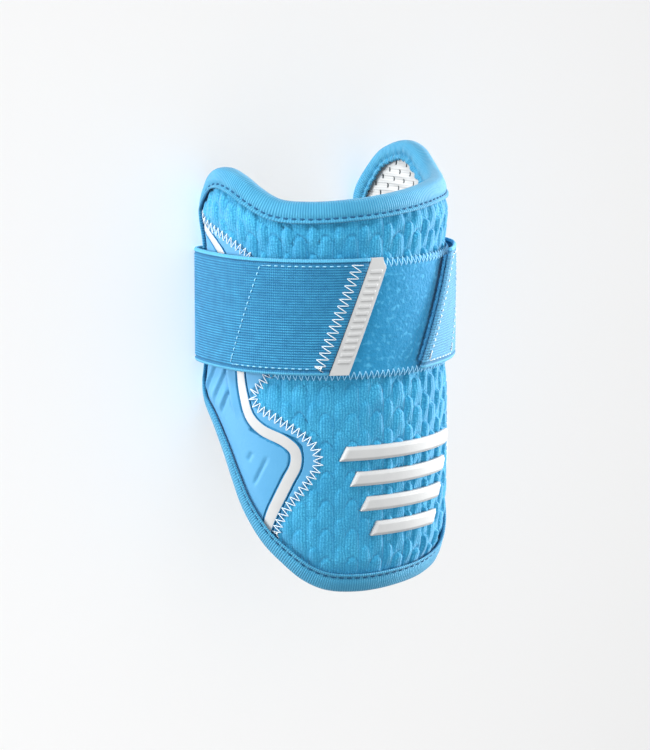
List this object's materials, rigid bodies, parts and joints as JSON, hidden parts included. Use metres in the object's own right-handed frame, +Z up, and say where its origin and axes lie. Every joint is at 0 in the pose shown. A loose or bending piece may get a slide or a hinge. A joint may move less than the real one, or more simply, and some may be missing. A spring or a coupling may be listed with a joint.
{
  "type": "baseball elbow guard",
  "caption": "Padded wrap-round elbow guard for batting, with knitted foam front, moulded side pads, taped edge and a hook-and-loop elastic strap.",
  "frame": {"origin": "on the surface that the guard rests on, under the middle of its bounding box", "axes": "+Y along the arm, from the lower lip to the upper end; +Z up through the crown of the pad; +X to the right seen from the lower end"},
  "size_m": [0.116, 0.186, 0.0849],
  "materials": {
    "knit": "sky-blue knitted polyester pressed into scales over foam",
    "moulded_foam": "smooth lighter blue fabric moulded over foam",
    "white_rubber": "off-white moulded rubber, satin",
    "lining_mesh": "white padded mesh with rows of small holes",
    "edge_tape": "blue stretch binding, fine ribs",
    "loop_pile": "blue loop pile, brushed",
    "elastic": "darker blue woven elastic with ribs along it",
    "hook_tape": "dark blue hook tape"
  },
  "bodies": {
    "root": {"mesh_pad": "knit", "side_pad_left": "moulded_foam", "side_pad_right": "moulded_foam", "stripe_left": "white_rubber", "stripe_right": "white_rubber", "lining": "lining_mesh", "edge_tape": "edge_tape", "loop_band": "loop_pile", "strap": "elastic", "hook_patch_front": "hook_tape", "hook_patch_side": "hook_tape", "pull_tab": "white_rubber", "front_rib_1": "white_rubber", "front_rib_2": "white_rubber", "front_rib_3": "white_rubber", "front_rib_4": "white_rubber"}
  },
  "joints": []
}
